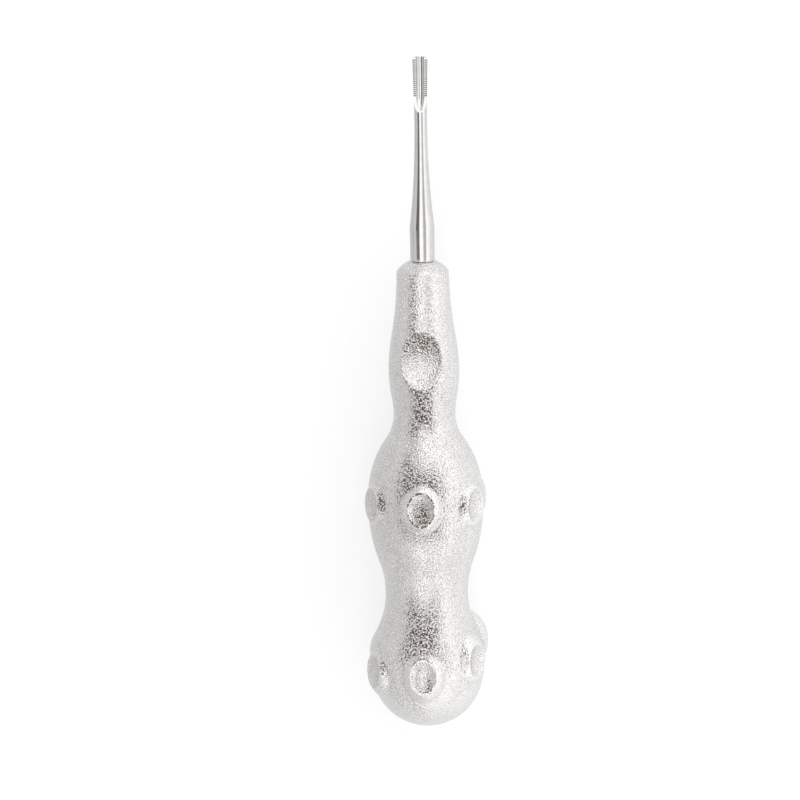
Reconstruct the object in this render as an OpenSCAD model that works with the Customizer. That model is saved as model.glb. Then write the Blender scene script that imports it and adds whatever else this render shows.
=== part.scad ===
// Dental elevator, lying on its back as it rests on a tray.
// A blasted grip carries a polished shank that ends in a small serrated gouge.
// Both pieces are drawn upright on the long axis, butt at height 0, front towards -Y,
// and laid down at the end: long axis along +Y, front up, resting face at height 0.

/* [Lengths along the axis] */
// Whole length, from the butt of the grip to the tip of the blade
total_length = 171.5; // [168:0.5:190]
// Height of the widest part of the lower belly above the butt
lower_belly_z = 17.6; // [16:0.1:20]
// Height of the waist between the two bellies
waist_z = 34.4; // [32:0.1:40]
// Height where the upper belly reaches its full width
upper_belly_z = 56.3; // [52:0.1:60]
// Length over which the upper belly keeps its full width
upper_belly_land = 3.1; // [0.5:0.1:6]
// Height of the narrowest part of the neck
neck_z = 80.1; // [78:0.1:84]
// Height of the swell that carries the thumb rest
swell_z = 91.3; // [88:0.1:96]
// Height of the edge of the shoulder
shoulder_z = 116.9; // [112:0.1:124]
// Rise of the domed shoulder above its edge
shoulder_rise = 2.6; // [1.5:0.1:3.5]

/* [Grip radii] */
// Radius of the round butt
butt_r = 14.0; // [12:0.1:14.2]
// Radius of the lower belly
lower_belly_r = 14.5; // [14.3:0.1:16]
// Radius of the waist
waist_r = 10.4; // [9:0.1:12]
// Radius of the upper belly
upper_belly_r = 14.5; // [13.5:0.1:16]
// Radius of the neck
neck_r = 7.8; // [7:0.1:8.5]
// Radius of the swell that carries the thumb rest
swell_r = 8.9; // [8.6:0.1:10]
// Radius at the edge of the shoulder
shoulder_r = 6.6; // [5.5:0.1:7.5]

/* [Grip curves] */
// Radius of the curve that leaves the lower belly towards the waist
lower_belly_bow = 15.5; // [12:0.5:20]
// Radius of the hollow curve that leaves the waist towards the upper belly
waist_bow = 22.5; // [16:0.5:30]
// Radius of the curve that leaves the upper belly towards the neck
upper_belly_bow = 25.2; // [20:0.1:28]
// Radius of the hollow curve that leaves the neck towards the swell
neck_bow = 25; // [15:1:35]
// Radius of the curve that leaves the swell towards the shoulder
swell_bow = 52; // [35:1:70]

/* [Grip eyes] */
// Number of ring-shaped eyes round each belly
eye_count = 6; // [5:1:7]
// Width of an eye round the belly, at its foot
eye_width = 10.2; // [8.4:0.1:11]
// Width of an eye from rim crest to rim crest
eye_crest_width = 6.8; // [5.5:0.1:7.8]
// Height of the rim crest above the belly
eye_rise = 1.3; // [0.8:0.1:1.6]
// Depth of the dimple below the rim crest
eye_depth = 1.6; // [0.8:0.1:2.4]
// Radius of the curve along an eye, from end to end
eye_bow = 8.6; // [7.6:0.1:10]
// Radius of the curve along the dimple of an eye
eye_dimple_bow = 9.3; // [8:0.1:12]
// Height of the middle of the lower row of eyes above the butt
lower_eye_z = 18.1; // [16:0.1:20]
// How far the lower row dips at the front of the grip
lower_row_dip = 2.8; // [0:0.1:4]
// How far the lower row rises at the right of the grip
lower_row_lift = 1.7; // [0:0.1:2]
// Height of the upper row of eyes above the butt
upper_eye_z = 58.2; // [54:0.1:62]

/* [Thumb rest] */
// Height of the middle of the thumb rest above the butt
thumb_z = 96.4; // [92:0.1:100]
// Distance from the axis to the floor of the thumb rest
thumb_floor = 6.5; // [5:0.1:7.5]
// Radius of the thumb rest's curve across the neck
thumb_cross_bow = 28; // [20:1:40]
// Radius of the thumb rest's curve along the neck
thumb_long_bow = 17; // [12:0.5:24]

/* [Shank and tang] */
// Radius of the shank where it leaves the shoulder
shank_base_r = 3.06; // [2.6:0.02:3.3]
// Radius of the shank at the top of its thick stretch
shank_top_r = 3.14; // [2.7:0.02:3.5]
// Length of the thick stretch of the shank
shank_base_length = 8.6; // [6:0.1:12]
// Radius where the long taper starts
taper_r = 2.6; // [2.2:0.02:2.7]
// Length of the cone between the thick stretch and the long taper
taper_cone_length = 4.9; // [3:0.1:7]
// Radius of the thin end of the shank
thin_r = 1.62; // [1.4:0.02:1.8]
// Distance from the tip to the thin end of the long taper
thin_from_tip = 17.2; // [15:0.1:20]
// Radius of the tang inside the grip
tang_r = 2; // [1.5:0.1:2.4]
// Length of the tang inside the grip
tang_length = 28; // [15:1:40]
// Clearance between the tang and its socket
tang_clearance = 0.02; // [0.01:0.01:0.1]
// Free space under the end of the tang
tang_end_space = 1; // [0.5:0.1:3]
// Width of the flat ring on which the shank seats, beyond the shank
seat_margin = 0.35; // [0.2:0.05:0.8]
// Radius of the rounded lower edge of the shank
shank_edge_r = 0.4; // [0.2:0.05:0.6]

/* [Blade] */
// Radius of the blade's round back at the tip
blade_r = 1.93; // [1.7:0.01:2.1]
// Distance from the tip to where the blade starts to widen
blade_length = 14; // [12:0.1:15]
// Height of the ground front face in front of the axis
front_offset = 0.1; // [0:0.05:0.4]
// Distance from the tip to where the ground front face starts to rise
front_length = 8.6; // [7:0.1:10]
// Radius of the grinding at the end of the front face
front_end_r = 10; // [6:0.5:14]
// Radius of the gouge channel across
channel_r = 1.1; // [0.9:0.05:1.3]
// Depth of the channel behind the axis
channel_depth = 0.8; // [0.4:0.05:1]
// Length of the straight stretch of the channel
channel_straight = 8; // [5:0.1:9]
// Radius of the wheel that lifts the channel out of the stock
channel_wheel_r = 8; // [6:0.5:14]
// Length of the bevel behind the tip
bevel_length = 6.5; // [4:0.1:9]
// Thickness left behind the channel at the tip
edge_thickness = 0.22; // [0.15:0.01:0.5]
// Radius of the tip corner to the left of the channel
left_corner_r = 0.5; // [0.3:0.05:0.9]
// Radius of the tip corner to the right of the channel
right_corner_r = 0.9; // [0.5:0.05:1.2]

/* [Serrations] */
// Number of teeth along each edge of the channel
tooth_count = 19; // [10:1:20]
// Distance from tooth to tooth
tooth_pitch = 0.5; // [0.4:0.05:0.55]
// Depth of the notches between the teeth
tooth_depth = 0.2; // [0.1:0.02:0.3]
// Distance from the tip to the first notch
tooth_start = 0.6; // [0.4:0.1:1.5]

/* [Hidden] */
$fn = 96;
// A little extra length for cutters, so that they pass clean through
over = 1;

seat_z = shoulder_z + shoulder_rise;
seat_r = shank_base_r + seat_margin;
blade_start_z = total_length - blade_length;
thin_z = total_length - thin_from_tip;
shank_top_z = seat_z + shank_base_length;
taper_z = shank_top_z + taper_cone_length;

// Sum of the radii of two tangent curves that join two widths d apart and h different
function bow_sum(d, h) = (d * d + h * h) / (2 * h);

// Rim crest and foot of an eye, as distances from the axis on the eye's middle line
function crest_x(belly) = sqrt(pow(belly + eye_rise, 2) - pow(eye_crest_width / 2, 2));
function foot_x(belly) = sqrt(pow(belly, 2) - pow(eye_width / 2, 2));
// Centre line of the eye's dome, which passes through foot and crest
function dome_axis(belly) =
    (pow(belly + eye_rise, 2) - pow(belly, 2)) / (2 * (crest_x(belly) - foot_x(belly)));
function dome_r(belly) = norm([foot_x(belly) - dome_axis(belly), eye_width / 2]);
// Floor of the dimple, and the radius of the cut that reaches from the floor to the crest
function dimple_floor(belly) = belly + eye_rise - eye_depth;
function dimple_rise(belly) = crest_x(belly) - dimple_floor(belly);
function dimple_r(belly) =
    (pow(eye_crest_width / 2, 2) + pow(dimple_rise(belly), 2)) / (2 * dimple_rise(belly));

// An odd number of eyes leaves two of them side by side underneath, an even one has one
eye_step = 360 / eye_count;
eye_turns = [for (i = [0 : eye_count - 1]) i * eye_step];
lowest_eye_angle = eye_count % 2 == 1 ? eye_step / 2 : 0;
function rest_height(belly) =
    crest_x(belly) * cos(lowest_eye_angle) + eye_crest_width / 2 * sin(lowest_eye_angle);
axis_height = max(rest_height(lower_belly_r), rest_height(upper_belly_r));

// Heights of the eyes of each row, from the front one round by the right
lower_row =
    [for (t = eye_turns) lower_eye_z + lower_row_lift * sin(t) - lower_row_dip * cos(t)];
upper_row = [for (t = eye_turns) upper_eye_z];

// Computed radii are whole tenths, a little off the tangent value, so that neighbouring
// arcs cross at a very slight angle and no sliver is left between them
function tenths_over(v) = ceil(v * 10) / 10 + 0.1;
function tenths_under(v) = floor(v * 10) / 10 - 0.1;

// A curve runs from a wide place to a narrow one, in two arcs. It is given as
// [wide radius, wide height, narrow radius, narrow height, radius of the wide arc].
function hollow_bow(c) = tenths_over(bow_sum(c[3] - c[1], c[0] - c[2]) - c[4]);
// How far along the curve its two arcs meet, as a share of its height
function meet_share(c) = c[4] / (hollow_bow(c) + c[4]);
// The stock under the hollow arc reaches this far past the meeting place
lap = 0.15;

// Slab of the half section between two heights
module slab(radius, from_z, to_z) {
    translate([0, min(from_z, to_z)]) square([radius, abs(to_z - from_z)]);
}

// Half section under a curve
module curve_section(c) {
    stock_r = c[2] + (c[0] - c[2]) * (1 - meet_share(c));
    stock_z = c[1] + (c[3] - c[1]) * (meet_share(c) - lap);
    difference() {
        union() {
            intersection() {
                translate([c[0] - c[4], c[1]]) circle(c[4], $fn = 360);
                slab(c[0] + over, c[1], c[3]);
            }
            slab(stock_r, stock_z, c[3]);
        }
        translate([c[2] + hollow_bow(c), c[3]]) circle(hollow_bow(c), $fn = 360);
    }
}

// The butt is a ball that runs into the lower belly through one long side arc
butt_side_bow = tenths_under(
    (pow(lower_belly_r, 2) + pow(lower_belly_z - butt_r, 2) - pow(butt_r, 2))
    / (2 * (lower_belly_r - butt_r)));
butt_side_x = lower_belly_r - butt_side_bow;
// The two arcs meet on the line through both centres
butt_touch_z = butt_r - (lower_belly_z - butt_r) * butt_r
    / norm([butt_side_x, lower_belly_z - butt_r]);

// The shoulder is part of a ball centred on the axis
shoulder_drop = round(10 * (pow(shoulder_r, 2) - pow(seat_r, 2) - pow(shoulder_rise, 2))
    / (2 * shoulder_rise)) / 10;
shoulder_bow = tenths_over(norm([shoulder_r, shoulder_drop]));

upper_land_z = upper_belly_z + upper_belly_land;
low_bow = bow_sum(upper_belly_z - waist_z, upper_belly_r - waist_r) - waist_bow;
swell_side_bow = bow_sum(swell_z - neck_z, swell_r - neck_r) - neck_bow;
curves = [
    [lower_belly_r, lower_belly_z, waist_r, waist_z, lower_belly_bow],
    [upper_belly_r, upper_belly_z, waist_r, waist_z, tenths_under(low_bow)],
    [upper_belly_r, upper_land_z, neck_r, neck_z, upper_belly_bow],
    [swell_r, swell_z, neck_r, neck_z, tenths_under(swell_side_bow)],
    [swell_r, swell_z, shoulder_r, shoulder_z, swell_bow]
];

// Half section of the grip without its eyes
module grip_section() {
    intersection() {
        translate([butt_side_x, lower_belly_z]) circle(butt_side_bow, $fn = 360);
        union() {
            intersection() {
                translate([0, butt_r]) circle(butt_r, $fn = 360);
                slab(butt_r + over, 0, butt_r);
            }
            slab(lower_belly_r + over, butt_touch_z, lower_belly_z);
        }
    }
    for (c = curves) curve_section(c);
    slab(upper_belly_r, upper_belly_z, upper_land_z);
    intersection() {
        translate([0, shoulder_z - shoulder_drop]) circle(shoulder_bow, $fn = 360);
        slab(shoulder_r, shoulder_z, seat_z);
    }
}

// Solid of revolution like a barrel: full_r at its middle, curved lengthways with bow
module barrel(full_r, bow) {
    rotate_extrude() intersection() {
        translate([full_r - bow, 0]) circle(bow, $fn = 180);
        translate([0, -bow]) square([full_r + over, 2 * bow]);
    }
}

// One row of raised eyes, drawn before the dimples are cut
module eye_domes(belly, row) {
    for (i = [0 : eye_count - 1]) rotate([0, 0, eye_turns[i]])
        translate([0, -dome_axis(belly), row[i]]) barrel(dome_r(belly), eye_bow);
}

module eye_dimples(belly, row) {
    for (i = [0 : eye_count - 1]) rotate([0, 0, eye_turns[i]])
        translate([0, -dimple_floor(belly) - dimple_r(belly), row[i]])
            barrel(dimple_r(belly), eye_dimple_bow);
}

// Shallow dish on the front of the neck
module thumb_dish() {
    translate([0, -thumb_floor - thumb_cross_bow, thumb_z])
        barrel(thumb_cross_bow, thumb_long_bow);
}

module socket() {
    depth = tang_length + tang_end_space;
    translate([0, 0, seat_z - depth]) cylinder(r = tang_r + tang_clearance, h = depth + over);
}

module handle_upright() {
    difference() {
        union() {
            // The start of the turned surface is put to the front, where the dish is cut
            rotate([0, 0, -90]) rotate_extrude() grip_section();
            eye_domes(lower_belly_r, lower_row);
            eye_domes(upper_belly_r, upper_row);
        }
        eye_dimples(lower_belly_r, lower_row);
        eye_dimples(upper_belly_r, upper_row);
        thumb_dish();
        socket();
    }
}

// Half section of the round stock of the working piece, from the tang to the tip
module stock_section() {
    taper_run = thin_z - taper_z;
    taper_bow = bow_sum(taper_run, taper_r - thin_r);
    edge_slope = (shank_top_r - shank_base_r) / shank_base_length;
    edge_x = shank_base_r - shank_edge_r;
    translate([0, seat_z - tang_length]) square([tang_r, tang_length]);
    translate([0, seat_z]) square([edge_x, shank_edge_r]);
    intersection() {
        translate([edge_x, seat_z + shank_edge_r]) circle(shank_edge_r);
        translate([0, seat_z]) square([shank_base_r, shank_edge_r]);
    }
    polygon([
        [0, seat_z + shank_edge_r],
        [shank_base_r, seat_z + shank_edge_r],
        [shank_base_r + edge_slope * shank_edge_r, seat_z + 2 * shank_edge_r],
        [shank_top_r, shank_top_z],
        [taper_r, taper_z],
        [0, taper_z]
    ]);
    difference() {
        translate([0, taper_z]) square([taper_r, taper_run]);
        translate([thin_r + taper_bow, thin_z]) circle(taper_bow, $fn = 720);
    }
    polygon([
        [0, thin_z],
        [thin_r, thin_z],
        [thin_r, blade_start_z],
        [blade_r, total_length],
        [0, total_length]
    ]);
}

// Front face ground flat towards the tip, rising out of the stock in a curve
module front_grind() {
    width = 4 * blade_r;
    curve_z = total_length - front_length;
    translate([-width / 2, 0, 0]) rotate([90, 0, 90]) linear_extrude(width) {
        translate([-front_offset - 2 * front_end_r, curve_z])
            square([2 * front_end_r, front_length + over]);
        translate([-front_offset - front_end_r, curve_z]) circle(front_end_r, $fn = 180);
    }
}

// Gouge channel, straight from the tip and lifted out by the curve of a round-edged wheel
module channel() {
    wheel_x = channel_wheel_r - channel_r;
    straight_z = total_length - channel_straight;
    translate([0, channel_depth - channel_r, straight_z])
        cylinder(r = channel_r, h = channel_straight + over);
    translate([0, channel_depth - channel_wheel_r, straight_z]) rotate([0, 90, 0])
        rotate_extrude(angle = 90) translate([wheel_x, 0]) circle(channel_r);
}

// Row of notches across both edges of the channel
module notches() {
    width = 4 * blade_r;
    first_z = total_length - tooth_start;
    row = [for (i = [0 : tooth_count - 1]) each [
        [-front_offset, first_z - i * tooth_pitch],
        [tooth_depth - front_offset, first_z - (i + 0.5) * tooth_pitch]
    ]];
    last_z = first_z - tooth_count * tooth_pitch;
    translate([-width / 2, 0, 0]) rotate([90, 0, 90]) linear_extrude(width)
        polygon(concat([[-blade_r, first_z]], row, [[-front_offset, last_z], [-blade_r, last_z]]));
}

// Bevel on the back that thins the tip to its cutting edge
module back_bevel() {
    width = 4 * blade_r;
    edge_y = channel_depth + edge_thickness;
    slope = (blade_r - edge_y) / bevel_length;
    translate([-width / 2, 0, 0]) rotate([90, 0, 90]) linear_extrude(width) polygon([
        [blade_r, total_length - bevel_length],
        [edge_y - slope * over, total_length + over],
        [2 * blade_r, total_length + over],
        [2 * blade_r, total_length - bevel_length]
    ]);
}

// Cutter that rounds one corner of the tip, seen from the front
module tip_corner(side, corner_r) {
    depth = 4 * blade_r;
    rotate([90, 0, 0]) translate([0, 0, -depth / 2]) linear_extrude(depth) difference() {
        translate([side > 0 ? blade_r - corner_r : -blade_r - over, total_length - corner_r])
            square([corner_r + over, corner_r + over]);
        translate([side * (blade_r - corner_r), total_length - corner_r]) circle(corner_r);
    }
}

module blade_upright() {
    difference() {
        rotate_extrude() stock_section();
        front_grind();
        channel();
        notches();
        back_bevel();
        tip_corner(-1, left_corner_r);
        tip_corner(1, right_corner_r);
    }
}

// Lays an upright piece down: axis along +Y, front up, lowest rims at height 0
module laid_down() {
    translate([0, -total_length / 2, axis_height]) rotate([-90, 0, 0]) children();
}

module handle() {
    color("silver") laid_down() handle_upright();
}

module blade() {
    color("lightsteelblue") laid_down() blade_upright();
}

handle();
blade();
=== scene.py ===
"""Looks of the dental elevator: a blasted grip and a polished gouge, on a pale floor."""

import math

import bmesh
import bpy
import numpy as np
from mathutils import Matrix, Vector


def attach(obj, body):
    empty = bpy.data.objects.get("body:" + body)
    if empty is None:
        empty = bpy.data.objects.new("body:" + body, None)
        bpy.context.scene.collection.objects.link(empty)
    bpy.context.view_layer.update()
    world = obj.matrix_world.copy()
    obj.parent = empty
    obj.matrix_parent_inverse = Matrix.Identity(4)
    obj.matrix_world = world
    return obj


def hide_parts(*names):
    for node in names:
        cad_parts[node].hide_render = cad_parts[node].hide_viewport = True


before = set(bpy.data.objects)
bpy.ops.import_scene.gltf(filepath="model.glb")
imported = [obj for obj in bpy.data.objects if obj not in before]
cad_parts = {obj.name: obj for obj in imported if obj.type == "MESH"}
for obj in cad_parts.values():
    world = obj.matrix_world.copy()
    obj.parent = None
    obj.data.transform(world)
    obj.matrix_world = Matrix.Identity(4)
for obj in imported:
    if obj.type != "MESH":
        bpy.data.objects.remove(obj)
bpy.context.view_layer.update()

MM = 0.001

# The CAD's driving sizes, in millimetres, on the upright long axis with the butt at height 0.
# Grip
TOTAL = 171.5
BUTT_R = 14.0
BELLY_R, LOWER_BELLY_Z, UPPER_BELLY_Z, UPPER_BELLY_END = 14.5, 17.6, 56.3, 59.4
WAIST_R, WAIST_Z = 10.4, 34.4
NECK_R, NECK_Z = 7.8, 80.1
SWELL_R, SWELL_Z = 8.9, 91.3
SHOULDER_R, SHOULDER_Z, SHOULDER_RISE = 6.6, 116.9, 2.6
SEAT_R, SEAT_RING, SEAT_Z = 3.41, 0.21, 119.5
EYES = 6
EYE_WIDTH, EYE_CREST, EYE_RISE, EYE_DEPTH = 10.2, 6.8, 1.3, 1.6
EYE_BOW, DIMPLE_BOW = 8.6, 9.3
LOWER_EYE_Z, LOWER_DIP, LOWER_LIFT, UPPER_EYE_Z = 18.1, 2.8, 1.7, 58.2
THUMB_Z, THUMB_FLOOR, THUMB_CROSS, THUMB_LONG = 96.4, 6.5, 28.0, 17.0
# Shank
SHANK_BASE_R, SHANK_TOP_R, SHANK_TOP_Z, SHANK_EDGE = 3.06, 3.14, 128.1, 0.4
TAPER_R, TAPER_Z = 2.6, 133.0
THIN_R, THIN_Z = 1.62, TOTAL - 17.2
TANG_R, TANG_CLEARANCE, TANG_Z, SOCKET_Z = 2.0, 0.02, SEAT_Z - 28, SEAT_Z - 29
# Gouge
BLADE_R, BLADE_LENGTH = 1.93, 14
GRIND_Z, GRIND_R, FRONT = TOTAL - 8.6, 10.0, 0.1
CHANNEL_R, CHANNEL_DEPTH, CHANNEL_STRAIGHT, WHEEL_R = 1.1, 0.8, 8.0, 8.0
BEVEL, EDGE = 6.5, 0.22
TOOTH_START, PITCH, TEETH, TOOTH_DEPTH = 0.6, 0.5, 19, 0.2
CORNERS = {-1: 0.5, 1: 0.9}

CREST_AXIS = math.sqrt((BELLY_R + EYE_RISE) ** 2 - (EYE_CREST / 2) ** 2)
AXIS_HEIGHT = CREST_AXIS  # it rests on the rim crests of its lowest eyes
FAR = 99.0  # beyond everything


def lay(x, front, z):
    """Upright place, front measured towards the thumb rest, to metres in the row frame."""
    return np.stack([x, z - TOTAL / 2, AXIS_HEIGHT + front], axis=-1) * MM


def bow_sum(along, across):
    """Sum of the radii of two arcs that join two parallel lines in a smooth S."""
    return (along * along + across * across) / (2 * across)


def root(square):
    return np.sqrt(np.clip(square, 0, None))


def blend_max(a, b, k):
    """The larger of two, rounded over k."""
    h = np.clip(0.5 + 0.5 * (a - b) / k, 0, 1)
    return b * (1 - h) + a * h + k * h * (1 - h)


def blend_min(a, b, k):
    return -blend_max(-a, -b, k)


def spread(*stops):
    """Heights from stop to stop, each stretch with its own step."""
    out = []
    for (start, step), (end, _) in zip(stops, stops[1:]):
        n = max(1, round((end - start) / step))
        out += [start + (end - start) * i / n for i in range(n)]
    return out + [stops[-1][0]]


def rings(rows, count):
    """Quads between closed rows of count points each."""
    faces = []
    for i in range(rows - 1):
        low, high = i * count, (i + 1) * count
        for j in range(count):
            k = (j + 1) % count
            faces.append((low + j, low + k, high + k, high + j))
    return faces


# Points nearer than the first are joined, and edges shorter than the second go, in metres
WELD, SLIVER = 2e-7, 1e-7


def new_object(name, verts, faces, sharp_angle, label, values):
    """A smooth mesh, sharp where it bends more than the angle, with one labelled value a point."""
    mesh = bpy.data.meshes.new(name)
    mesh.from_pydata([tuple(v) for v in verts], [], faces)
    mesh.attributes.new(label, "FLOAT", "POINT").data.foreach_set("value", values)
    bm = bmesh.new()
    bm.from_mesh(mesh)
    bmesh.ops.remove_doubles(bm, verts=bm.verts, dist=WELD)
    bmesh.ops.dissolve_degenerate(bm, edges=bm.edges, dist=SLIVER)
    bmesh.ops.triangulate(bm, faces=[f for f in bm.faces if len(f.verts) > 4])
    bmesh.ops.recalc_face_normals(bm, faces=bm.faces)
    for face in bm.faces:
        face.smooth = True
    for edge in bm.edges:
        edge.smooth = len(edge.link_faces) != 2 or edge.calc_face_angle(0) < sharp_angle
    bm.to_mesh(mesh)
    bm.free()
    obj = bpy.data.objects.new(name, mesh)
    bpy.context.scene.collection.objects.link(obj)
    return obj


# ---- grip ---------------------------------------------------------------------------------
# The radii of these two arcs follow from those of the hollows that they run into
WAIST_HOLLOW, NECK_HOLLOW = 22.5, 25.0
UPPER_BELLY_BOW = bow_sum(UPPER_BELLY_Z - WAIST_Z, BELLY_R - WAIST_R) - WAIST_HOLLOW
SWELL_BOW = bow_sum(SWELL_Z - NECK_Z, SWELL_R - NECK_R) - NECK_HOLLOW
CURVES = [
    # wide radius and height, narrow radius and height, radius of the arc at the wide end
    (BELLY_R, LOWER_BELLY_Z, WAIST_R, WAIST_Z, 15.5),
    (BELLY_R, UPPER_BELLY_Z, WAIST_R, WAIST_Z, UPPER_BELLY_BOW),
    (BELLY_R, UPPER_BELLY_END, NECK_R, NECK_Z, 25.2),
    (SWELL_R, SWELL_Z, NECK_R, NECK_Z, SWELL_BOW),
    (SWELL_R, SWELL_Z, SHOULDER_R, SHOULDER_Z, 52.0),
]
# How far an eye's edge, its rim and the thumb rest's edge are rounded
EYE_BLEND, RIM_BLEND, THUMB_BLEND = 0.5, 0.25, 0.18
# Steps of the mesh along the grip, and its points around
FINE, MEDIUM, COARSE = 0.29, 0.38, 0.9
AROUND = 320
# The butt's wear: how much, up to what height, and how far above it fades out
BUTT_WEAR, WORN_Z, WORN_FADE = 0.8, 8, 8


def grip_radius(z):
    """Radius of the grip without its eyes and thumb rest at height z."""
    r = np.full_like(z, BELLY_R)
    # Round butt, and the long arc that carries it out to the lower belly
    out, up = BELLY_R - BUTT_R, LOWER_BELLY_Z - BUTT_R
    side = (BELLY_R**2 + up**2 - BUTT_R**2) / (2 * out)
    touch = BUTT_R - up * BUTT_R / math.hypot(BELLY_R - side, up)
    r = np.where(z < LOWER_BELLY_Z, BELLY_R - side + root(side**2 - (z - LOWER_BELLY_Z) ** 2), r)
    r = np.where(z < touch, root(BUTT_R**2 - (z - BUTT_R) ** 2), r)
    for wide_r, wide_z, narrow_r, narrow_z, bow in CURVES:
        hollow = bow_sum(narrow_z - wide_z, wide_r - narrow_r) - bow
        meet = wide_z + (narrow_z - wide_z) * bow / (hollow + bow)
        full = wide_r - bow + root(bow**2 - (z - wide_z) ** 2)
        hollowed = narrow_r + hollow - root(hollow**2 - (z - narrow_z) ** 2)
        within = (z >= min(wide_z, narrow_z)) & (z <= max(wide_z, narrow_z))
        near_wide = np.abs(z - wide_z) <= abs(meet - wide_z)
        r = np.where(within, np.where(near_wide, full, hollowed), r)
    drop = (SHOULDER_R**2 - SEAT_R**2 - SHOULDER_RISE**2) / (2 * SHOULDER_RISE)
    dome = root(SHOULDER_R**2 + drop**2 - (z - SHOULDER_Z + drop) ** 2)
    return np.where(z > SHOULDER_Z, dome, r)


def barrel_at(full_r, bow, dz):
    """Radius of a barrel, dz above or below its middle."""
    return np.clip(full_r - bow + root(bow**2 - dz**2), 0, None)


def eyes(r, turn, z, row_z, dip=0.0, lift=0.0):
    """Raises one row of eyes out of the radii r. Also returns how much each place is rim."""
    # The dome and its dimple are barrels: their axes stand at these distances from the grip's
    foot = math.sqrt(BELLY_R**2 - (EYE_WIDTH / 2) ** 2)
    dome_axis = ((BELLY_R + EYE_RISE) ** 2 - BELLY_R**2) / (2 * (CREST_AXIS - foot))
    dome_r = math.hypot(foot - dome_axis, EYE_WIDTH / 2)
    floor = BELLY_R + EYE_RISE - EYE_DEPTH
    rise = CREST_AXIS - floor
    dimple_r = ((EYE_CREST / 2) ** 2 + rise**2) / (2 * rise)
    dimple_axis = floor + dimple_r
    # Place of each point in the nearest eye
    step = 2 * math.pi / EYES
    off = (turn + step / 2) % step - step / 2
    eye_turn = turn - off
    dz = z - (row_z + lift * np.sin(eye_turn) - dip * np.cos(eye_turn))
    inside = barrel_at(dome_r, EYE_BOW, dz) ** 2 - (dome_axis * np.sin(off)) ** 2
    on_dome = (np.abs(dz) < EYE_BOW) & (inside > 0)
    raised = blend_max(r, np.where(on_dome, dome_axis * np.cos(off) + root(inside), 0), EYE_BLEND)
    hit = barrel_at(dimple_r, DIMPLE_BOW, dz) ** 2 - (dimple_axis * np.sin(off)) ** 2
    in_dimple = (np.abs(dz) < DIMPLE_BOW) & (hit > 0)
    dish = np.where(in_dimple, dimple_axis * np.cos(off) - root(hit), FAR)
    dimpled = blend_min(raised, dish, RIM_BLEND)
    # The rim is what the dome raised and the dimple left
    rim = np.clip((raised - r) / 0.8, 0, 1) * np.clip(1.2 - (raised - dimpled) / 0.35, 0, 1)
    return dimpled, rim


def thumb(r, turn, z):
    """Cuts the thumb rest into the radii r."""
    axis = THUMB_FLOOR + THUMB_CROSS
    hit = barrel_at(THUMB_CROSS, THUMB_LONG, z - THUMB_Z) ** 2 - (axis * np.sin(turn)) ** 2
    front = (np.cos(turn) > 0) & (hit > 0) & (np.abs(z - THUMB_Z) < THUMB_LONG)
    return blend_min(r, np.where(front, axis * np.cos(turn) - root(hit), FAR), THUMB_BLEND)


def make_grip():
    turn = np.arange(AROUND) * 2 * math.pi / AROUND
    # The butt's pole is spaced by angle, the rest by height, finest where the eyes are
    pole = [BUTT_R * (1 - math.cos(math.radians(a))) for a in range(1, 60, 2)]
    heights = pole + spread(
        (pole[-1] + 0.2, FINE), (31.0, COARSE), (49.0, FINE), (68.0, COARSE),
        (88.0, MEDIUM), (105.5, COARSE), (SHOULDER_Z, 0.24), (SEAT_Z, 1),
    )
    z, t = np.meshgrid(np.array(heights), turn, indexing="ij")
    r = grip_radius(z)
    r, low_rim = eyes(r, t, z, LOWER_EYE_Z, LOWER_DIP, LOWER_LIFT)
    r, high_rim = eyes(r, t, z, UPPER_EYE_Z)
    r = thumb(r, t, z)
    butt = BUTT_WEAR * np.clip((WORN_Z + WORN_FADE - z) / WORN_FADE, 0, 1)
    worn = np.maximum(np.maximum(low_rim, high_rim), butt)
    # The flat seat, with a narrow ring that keeps its edge crisp, and the tang's blind socket
    socket_r = TANG_R + TANG_CLEARANCE
    ends = [
        (SEAT_R - SEAT_RING, SEAT_Z), (socket_r, SEAT_Z), (socket_r, SEAT_Z - 15),
        (socket_r, SOCKET_Z), (0.0, SOCKET_Z),
    ]

    def row(value):
        return np.full((1, AROUND), value)

    # The tip of the butt is the first row
    r = np.vstack([row(0.0), r] + [row(radius) for radius, _ in ends])
    z = np.vstack([row(0.0), z] + [row(height) for _, height in ends])
    worn = np.vstack([row(0.0), worn] + [row(0.0) for _ in ends])
    t = np.tile(turn, (r.shape[0], 1))
    verts = lay(r * np.sin(t), r * np.cos(t), z).reshape(-1, 3)
    faces = rings(r.shape[0], AROUND)
    return new_object("grip", verts, faces, math.radians(50), "worn", worn.ravel())


# ---- working piece ------------------------------------------------------------------------
SIDE_POINTS, LAND_POINTS, ARC_POINTS = 60, 3, 12
RUN_OUT_Z = 156.0  # a little under where the front face runs out of the round bar


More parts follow.
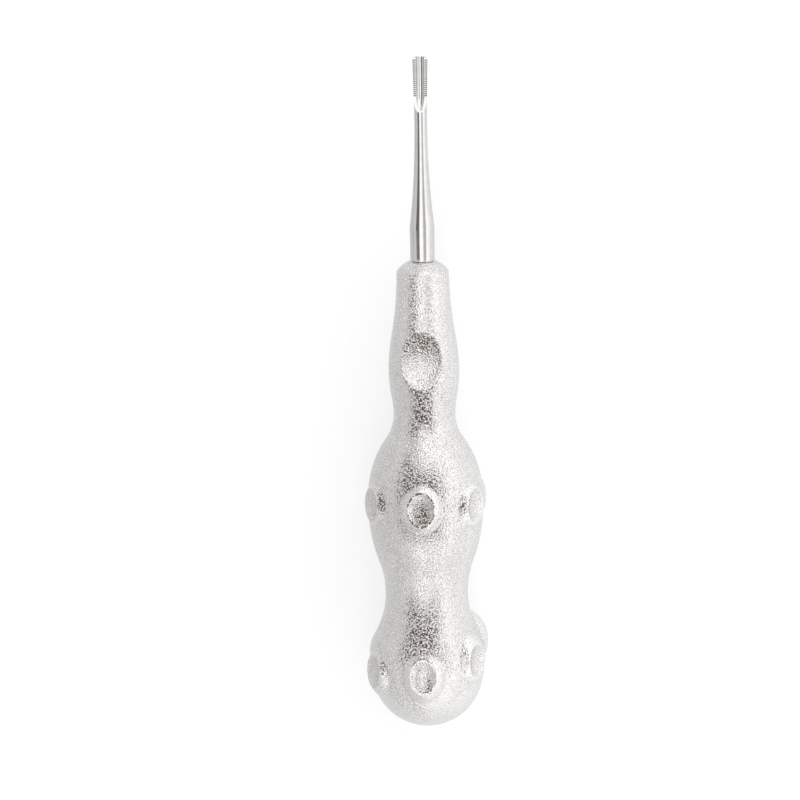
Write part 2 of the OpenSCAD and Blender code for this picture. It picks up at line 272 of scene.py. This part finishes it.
def stock_radius(z):
    """Radius of the round bar that the blade is ground from."""
    edge_z, flare_z = SEAT_Z + SHANK_EDGE, TOTAL - BLADE_LENGTH
    if z < edge_z:
        rounding = math.sqrt(max(0.0, SHANK_EDGE**2 - (edge_z - z) ** 2))
        return SHANK_BASE_R - SHANK_EDGE + rounding
    if z < SHANK_TOP_Z:
        share = (z - SEAT_Z) / (SHANK_TOP_Z - SEAT_Z)
        return SHANK_BASE_R + (SHANK_TOP_R - SHANK_BASE_R) * share
    if z < TAPER_Z:
        share = (z - SHANK_TOP_Z) / (TAPER_Z - SHANK_TOP_Z)
        return SHANK_TOP_R + (TAPER_R - SHANK_TOP_R) * share
    if z < THIN_Z:
        bow = bow_sum(THIN_Z - TAPER_Z, TAPER_R - THIN_R)
        return THIN_R + bow - math.sqrt(bow**2 - (THIN_Z - z) ** 2)
    if z < flare_z:
        return THIN_R
    return THIN_R + (BLADE_R - THIN_R) * (z - flare_z) / BLADE_LENGTH


def notch(z):
    """How deep in a notch of the lands a height is, from 0 to 1."""
    place = (TOTAL - TOOTH_START - z) / PITCH
    return 1 - abs(2 * (place % 1) - 1) if 0 < place < TEETH else 0.0


def front_face(z):
    """Height of the ground front face in front of the axis."""
    level = FRONT
    if z < GRIND_Z:
        reach = GRIND_R**2 - (GRIND_Z - z) ** 2
        level = FRONT + GRIND_R - math.sqrt(reach) if reach > 0 else FAR
    return level - TOOTH_DEPTH * notch(z)


def channel_half(level, z):
    """Half the channel's width where it cuts a face at this level."""
    dz = max(0.0, TOTAL - CHANNEL_STRAIGHT - z)
    rest = math.hypot(WHEEL_R - CHANNEL_DEPTH - level, dz) - WHEEL_R + CHANNEL_R
    if rest >= CHANNEL_R or level > WHEEL_R - CHANNEL_DEPTH:
        return 0.0
    return math.sqrt(CHANNEL_R**2 - max(0.0, rest) ** 2)


def channel_floor(x, z):
    """Height of the channel's surface in front of the axis, x off its middle."""
    dz = max(0.0, TOTAL - CHANNEL_STRAIGHT - z)
    reach = WHEEL_R - CHANNEL_R + math.sqrt(max(0.0, CHANNEL_R**2 - x * x))
    return WHEEL_R - CHANNEL_DEPTH - math.sqrt(max(0.0, reach**2 - dz**2))


def half_outline(z, corner):
    """Half the outline of the working piece at height z, from the back to the channel's middle."""
    radius = stock_radius(z)
    level = front_face(z)
    half = channel_half(level, z) if level < radius else 0.0
    # The bevel thins the back towards the tip, and the tip's corner narrows the side
    back, limit = -FAR, FAR
    if z > TOTAL - BEVEL:
        tip_back = CHANNEL_DEPTH + EDGE
        back = -tip_back - (BLADE_R - tip_back) * (TOTAL - z) / BEVEL
    if z > TOTAL - corner:
        rounding = math.sqrt(max(0.0, corner**2 - (z - TOTAL + corner) ** 2))
        limit = BLADE_R - corner + rounding
    front = math.acos(max(-1.0, min(1.0, level / radius)))
    points = []
    for i in range(SIDE_POINTS + 1):
        a = math.pi + (front - math.pi) * i / SIDE_POINTS
        points.append((min(limit, radius * math.sin(a)), max(back, radius * math.cos(a))))
    land_x, land_y = points[-1]
    arc_x = min(half, land_x)
    for i in range(1, LAND_POINTS + 1):
        points.append((land_x + (arc_x - land_x) * i / LAND_POINTS, land_y))
    start = math.asin(min(1.0, arc_x / CHANNEL_R))
    for i in range(1, ARC_POINTS + 1):
        x = CHANNEL_R * math.sin(start * (1 - i / ARC_POINTS)) if half > 0 else 0.0
        points.append((x, channel_floor(x, z) if half > 0 else land_y))
    return points


def blade_row(z):
    """Closed outline at height z: x, how far in front of the axis, and how notched."""
    lands = range(SIDE_POINTS - 1, SIDE_POINTS + LAND_POINTS)
    right, left = [
        [(side * x, y, notch(z) if i in lands else 0.0)
         for i, (x, y) in enumerate(half_outline(z, CORNERS[side]))]
        for side in (1, -1)
    ]
    return right + left[-2:0:-1]


def make_blade():
    first = TOTAL - TOOTH_START
    last = first - TEETH * PITCH
    # Finer from where the front face runs out, with four rows a notch, and finest at the tip
    heights = spread(
        (SEAT_Z, 0.05), (SEAT_Z + SHANK_EDGE, 0.5), (SHANK_TOP_Z, 0.5), (TAPER_Z, 0.5),
        (THIN_Z, 0.4), (RUN_OUT_Z, 0.1), (last, PITCH / 4), (first, 0.05), (TOTAL, 1),
    )
    outlines = [blade_row(z) for z in heights]
    count = len(outlines[0])
    points = []
    # The tang, and the flat under the shank's rounded edge
    tang = ((0.0, TANG_Z), (TANG_R, TANG_Z), (TANG_R, SEAT_Z))
    for radius, z in tang:
        for x, y, _ in outlines[0]:
            length = math.hypot(x, y) or 1.0
            points.append((x / length * radius, y / length * radius, z, 0.0))
    for z, row in zip(heights, outlines):
        points += [(x, y, z, notch_shade) for x, y, notch_shade in row]
    rows = len(tang) + len(heights)
    faces = rings(rows, count)
    faces.append(tuple((rows - 1) * count + j for j in range(count)))
    # How deep each point sits in a notch, which the steel's material turns into painted shade
    x, y, z, notch_shade = np.array(points).T
    return new_object("gouge", lay(x, y, z), faces, math.radians(24), "notch", notch_shade)


# ---- shader nodes -------------------------------------------------------------------------
def new_tree(owner, end="ShaderNodeOutputMaterial"):
    """Empty node tree of a material or the world, and its output."""
    owner.use_nodes = True
    tree = owner.node_tree
    tree.nodes.clear()
    return tree, tree.nodes.new(end)


def principled(name):
    mat = bpy.data.materials.new(name)
    tree, out = new_tree(mat)
    shader = tree.nodes.new("ShaderNodeBsdfPrincipled")
    tree.links.new(shader.outputs[0], out.inputs[0])
    return mat, tree, shader


def place_node(tree, output):
    return tree.nodes.new("ShaderNodeTexCoord").outputs[output]


def attribute(tree, label):
    made = tree.nodes.new("ShaderNodeAttribute")
    made.attribute_name = label
    return made.outputs["Fac"]


def noise(tree, coord, scale, detail, rough):
    made = tree.nodes.new("ShaderNodeTexNoise")
    made.inputs["Scale"].default_value = scale
    made.inputs["Detail"].default_value = detail
    made.inputs["Roughness"].default_value = rough
    tree.links.new(coord, made.inputs["Vector"])
    return made.outputs["Fac"]


def remap(tree, value, low, high, to_low, to_high):
    made = tree.nodes.new("ShaderNodeMapRange")
    made.inputs["From Min"].default_value = low
    made.inputs["From Max"].default_value = high
    made.inputs["To Min"].default_value = to_low
    made.inputs["To Max"].default_value = to_high
    tree.links.new(value, made.inputs["Value"])
    return made.outputs["Result"]


def maths(tree, kind, a, b):
    made = tree.nodes.new("ShaderNodeMath")
    made.operation = kind
    for i, v in enumerate((a, b)):
        if isinstance(v, (int, float)):
            made.inputs[i].default_value = v
        else:
            tree.links.new(v, made.inputs[i])
    return made.outputs[0]


def mix_colour(tree, fac, a, b):
    made = tree.nodes.new("ShaderNodeMix")
    made.data_type = "RGBA"
    tree.links.new(fac, made.inputs["Factor"])
    for socket, colour in (("A", a), ("B", b)):
        if isinstance(colour, tuple):
            made.inputs[socket].default_value = (*colour, 1)
        else:
            tree.links.new(colour, made.inputs[socket])
    return made.outputs["Result"]


def bump(tree, height, strength, distance, normal=None):
    made = tree.nodes.new("ShaderNodeBump")
    made.inputs["Distance"].default_value = distance
    if isinstance(strength, (int, float)):
        made.inputs["Strength"].default_value = strength
    else:
        tree.links.new(strength, made.inputs["Strength"])
    tree.links.new(height, made.inputs["Height"])
    if normal is not None:
        tree.links.new(normal, made.inputs["Normal"])
    return made.outputs[0]


# ---- materials ----------------------------------------------------------------------------
# Noise scales are in waves to the metre, bump heights in metres
CRINKLE_SCALE, CRINKLE_HEIGHT, RIDGE_HEIGHT = 2300, 0.00042, 0.00026
GRAIN_SCALE, GRAIN_HEIGHT = 4200, 0.00002
PLAIN_METAL, PITTED_METAL = (0.98, 0.975, 0.965), (0.68, 0.67, 0.655)
# The last colour is painted shade for the notches between the teeth
DULL_STEEL, BRIGHT_STEEL, NOTCH_PAINTED_SHADE = (0.68, 0.675, 0.665), (0.76, 0.755, 0.745), (0.1, 0.1, 0.1)


def blasted():
    """Blasted metal: a worm-like crinkle with fine pits, smoother where it is worn."""
    mat, tree, shader = principled("blasted_metal")
    coord = place_node(tree, "Object")
    crinkle = noise(tree, coord, CRINKLE_SCALE, 1.0, 0.5)
    grain = noise(tree, coord, GRAIN_SCALE, 2.0, 0.6)
    cloud = noise(tree, coord, 120, 3.0, 0.6)
    # Folded noise gives ridges that wander like worms
    ridge = maths(tree, "ABSOLUTE", maths(tree, "SUBTRACT", crinkle, 0.5), 0.0)
    keep = remap(tree, attribute(tree, "worn"), 0.2, 0.8, 1.0, 0.6)
    # Light is lost in the pits, less so where the surface is worn
    pits = maths(tree, "MULTIPLY", remap(tree, crinkle, 0.54, 0.38, 0, 1), keep)
    patches = remap(tree, cloud, 0.3, 0.7, 0.0, 0.12)
    tone = maths(tree, "ADD", maths(tree, "MULTIPLY", pits, 0.8), patches)
    colour = mix_colour(tree, tone, PLAIN_METAL, PITTED_METAL)
    coarse = bump(tree, crinkle, keep, CRINKLE_HEIGHT)
    folds = bump(tree, ridge, keep, RIDGE_HEIGHT, coarse)
    fine = bump(tree, grain, keep, GRAIN_HEIGHT, folds)
    shader.inputs["Metallic"].default_value = 1.0
    tree.links.new(colour, shader.inputs["Base Color"])
    tree.links.new(remap(tree, grain, 0.3, 0.7, 0.1, 0.19), shader.inputs["Roughness"])
    tree.links.new(fine, shader.inputs["Normal"])
    return mat


def polished():
    """Polished steel with faint turning lines, small wear marks and painted shade in the notches.
    """
    mat, tree, shader = principled("polished_steel")
    coord = place_node(tree, "Object")
    stretch = tree.nodes.new("ShaderNodeMapping")
    stretch.inputs["Scale"].default_value = (260, 9000, 260)
    tree.links.new(coord, stretch.inputs["Vector"])
    lines = noise(tree, stretch.outputs[0], 1.0, 2.0, 0.5)
    cloud = noise(tree, coord, 420, 3.0, 0.6)
    steel = mix_colour(tree, remap(tree, cloud, 0.3, 0.7, 0, 1), DULL_STEEL, BRIGHT_STEEL)
    # Painted shade: the notches between the teeth are darkened towards near black by how deep each
    # point sits in a notch
    notch_shade = remap(tree, attribute(tree, "notch"), 0.2, 0.9, 0, 0.85)
    shader.inputs["Metallic"].default_value = 1.0
    tree.links.new(mix_colour(tree, notch_shade, steel, NOTCH_PAINTED_SHADE), shader.inputs["Base Color"])
    tree.links.new(remap(tree, cloud, 0.3, 0.7, 0.06, 0.12), shader.inputs["Roughness"])
    tree.links.new(bump(tree, lines, 0.12, GRAIN_HEIGHT), shader.inputs["Normal"])
    return mat


def dress(obj, mat, node_name):
    obj.data.materials.append(mat)
    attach(obj, "root")
    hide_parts(node_name)


dress(make_grip(), blasted(), "handle")
dress(make_blade(), polished(), "blade")


# ---- floor, studio light, camera ----------------------------------------------------------
# The floor glows for the camera and, less evenly, for what the metal mirrors: how strongly, and
# with what share of the whole. Metal mirrors a greyer floor on the instrument's left
FLOOR_SEEN, SEEN_SHARE = 1.25, 0.5
FLOOR_LEFT, FLOOR_RIGHT, MIRRORED_SHARE = 0.66, 1.02, 0.85
FLOOR_COLOUR = (0.86, 0.86, 0.86, 1)


def make_floor():
    """Pale floor that keeps the shadow. The camera and the metal see it nearly white."""
    bpy.ops.mesh.primitive_plane_add(size=6, location=(0, 0, 0))
    floor = bpy.context.object
    floor.name = "floor"
    mat = bpy.data.materials.new("pale_floor")
    tree, out = new_tree(mat)
    matt = tree.nodes.new("ShaderNodeBsdfDiffuse")
    matt.inputs["Color"].default_value = FLOOR_COLOUR
    glow = tree.nodes.new("ShaderNodeEmission")
    both = tree.nodes.new("ShaderNodeMixShader")
    path = tree.nodes.new("ShaderNodeLightPath")
    seen, mirrored = path.outputs["Is Camera Ray"], path.outputs["Is Glossy Ray"]
    place = tree.nodes.new("ShaderNodeSeparateXYZ")
    tree.links.new(place_node(tree, "Object"), place.inputs[0])
    side = remap(tree, place.outputs["X"], -0.05, 0.05, FLOOR_LEFT, FLOOR_RIGHT)

    def by_ray(for_camera, for_metal):
        return maths(tree, "ADD", maths(tree, "MULTIPLY", seen, for_camera),
                     maths(tree, "MULTIPLY", mirrored, for_metal))

    tree.links.new(by_ray(FLOOR_SEEN, side), glow.inputs["Strength"])
    tree.links.new(by_ray(SEEN_SHARE, MIRRORED_SHARE), both.inputs["Fac"])
    tree.links.new(matt.outputs[0], both.inputs[1])
    tree.links.new(glow.outputs[0], both.inputs[2])
    tree.links.new(both.outputs[0], out.inputs[0])
    floor.data.materials.append(mat)


# Stops of the studio's light: degrees from straight up towards +X, and brightness.
# The bands stand overhead, the plain stops towards both ends of the long axis.
PLAIN = [(-90, 0.68), (-42, 0.74), (-6, 1.26), (50, 1.28), (90, 1.06)]
BANDS = [
    (-90, 0.7), (-50, 0.72), (-15, 1.32), (10, 1.26),
    (19, 0.6), (36, 0.56), (48, 1.3), (90, 1.02),
]
BANDS_ALONG = (-26, 26, 14)
# Dark openings: from, to and softness in degrees across, the same along, and depth
OPENINGS = [
    ((-50, -24, 8), (-13, 52, 10), 0.9),
    ((-88, 88, 1), (-88, -66, 12), 0.26),
]
OPENING_COLOUR = (0.11, 0.09, 0.08)
SKY_STRENGTH = 1.06


def make_world():
    world = bpy.data.worlds.new("studio")
    bpy.context.scene.world = world
    tree, out = new_tree(world, "ShaderNodeOutputWorld")
    sky = tree.nodes.new("ShaderNodeBackground")
    tree.links.new(sky.outputs[0], out.inputs[0])
    parts = tree.nodes.new("ShaderNodeSeparateXYZ")
    tree.links.new(place_node(tree, "Generated"), parts.inputs[0])

    def lean(side):
        """Lean of the direction from straight up to one side, 0 to 1 for -90 to 90 degrees."""
        angle = maths(tree, "ARCTAN2", parts.outputs[side], parts.outputs["Z"])
        return remap(tree, angle, -math.pi / 2, math.pi / 2, 0, 1)

    def ramp(value, stops):
        """Brightness by angle in degrees."""
        made = tree.nodes.new("ShaderNodeValToRGB")
        made.color_ramp.interpolation = "EASE"
        steps = made.color_ramp.elements
        while len(steps) < len(stops):
            steps.new(0.5)
        for step, (angle, level) in zip(steps, stops):
            step.position = angle / 180 + 0.5
            step.color = (level, level, level, 1)
        tree.links.new(value, made.inputs[0])
        return made.outputs["Color"]

    def between(value, low, high, soft):
        """1 between two angles, fading out over soft degrees outside."""
        return ramp(value, [(low - soft, 0), (low, 1), (high, 1), (high + soft, 0)])

    across, along = lean("X"), lean("Y")
    overhead = between(along, *BANDS_ALONG)
    colour = mix_colour(tree, overhead, ramp(across, PLAIN), ramp(across, BANDS))
    for sideways, lengthways, depth in OPENINGS:
        hole = maths(tree, "MULTIPLY", between(across, *sideways), between(along, *lengthways))
        colour = mix_colour(tree, maths(tree, "MULTIPLY", hole, depth), colour, OPENING_COLOUR)
    tree.links.new(colour, sky.inputs["Color"])
    sky.inputs["Strength"].default_value = SKY_STRENGTH


def make_lamp():
    """Soft lamp for the floor's shadow; the metal doesn't mirror it."""
    key = bpy.data.lights.new("key", "AREA")
    key.shape = "RECTANGLE"
    key.size, key.size_y = 0.8, 1.0
    key.energy = 0.6
    lamp = bpy.data.objects.new("key", key)
    lamp.location = (0.55, 0.1, 0.75)
    lamp.rotation_euler = (-lamp.location).to_track_quat("-Z", "Y").to_euler()
    bpy.context.scene.collection.objects.link(lamp)
    lamp.visible_glossy = False


# Dark flags that only the metal mirrors, in millimetres: left, right, near and far edge
FLAGS = {"wide_flag": (-42, 30, -53, 2.6), "small_flag": (2, 24, -120, -96)}
FLAG_HEIGHT = 65
FLAG_COLOUR = (0.14, 0.1, 0.085)


def make_flags():
    mat = bpy.data.materials.new("dark_flag")
    tree, out = new_tree(mat)
    dark = tree.nodes.new("ShaderNodeEmission")
    dark.inputs["Color"].default_value = (*FLAG_COLOUR, 1)
    tree.links.new(dark.outputs[0], out.inputs[0])
    for name, (left, right, near, far) in FLAGS.items():
        middle = ((left + right) / 2 * MM, (near + far) / 2 * MM, FLAG_HEIGHT * MM)
        bpy.ops.mesh.primitive_plane_add(size=1, location=middle)
        flag = bpy.context.object
        flag.name = name
        flag.scale = ((right - left) * MM, (far - near) * MM, 1)
        flag.data.materials.append(mat)
        for kind in ("camera", "diffuse", "shadow", "transmission", "volume_scatter"):
            setattr(flag, "visible_" + kind, False)


IMAGE = 800  # pixels along each side of the picture


def place_camera(distance, tilt, turn, roll, scale, centre):
    """Camera over the front, tilted towards the blade's end and turned round the long axis.

    Distance in millimetres, angles in degrees, scale in pixels to the millimetre; centre is the
    pixel that shows the middle of the long axis.
    """
    target = Vector((0, 0, AXIS_HEIGHT * MM))
    t, a = math.radians(tilt), math.radians(turn)
    back = Vector((math.sin(a) * math.cos(t), math.sin(t), math.cos(a) * math.cos(t)))
    up = Vector((0, 1, 0))
    up = (up - back * up.dot(back)).normalized()
    up = Matrix.Rotation(math.radians(roll), 3, back) @ up
    right = up.cross(back)
    cam = bpy.data.cameras.new("camera")
    obj = bpy.data.objects.new("camera", cam)
    basis = Matrix((right, up, back)).transposed()
    obj.matrix_world = Matrix.Translation(target + back * distance * MM) @ basis.to_4x4()
    cam.sensor_width = 36
    cam.lens = cam.sensor_width * scale * distance / IMAGE
    cam.shift_x = (IMAGE / 2 - centre[0]) / IMAGE
    cam.shift_y = (centre[1] - IMAGE / 2) / IMAGE
    cam.clip_start, cam.clip_end = 0.01, 20
    bpy.context.scene.collection.objects.link(obj)
    bpy.context.scene.camera = obj


make_floor()
make_world()
make_lamp()
make_flags()
place_camera(distance=3000.0, tilt=10.8, turn=4.5, roll=-0.75, scale=3.961, centre=(424.2, 392.4))

bpy.context.scene.view_settings.view_transform = "Standard"
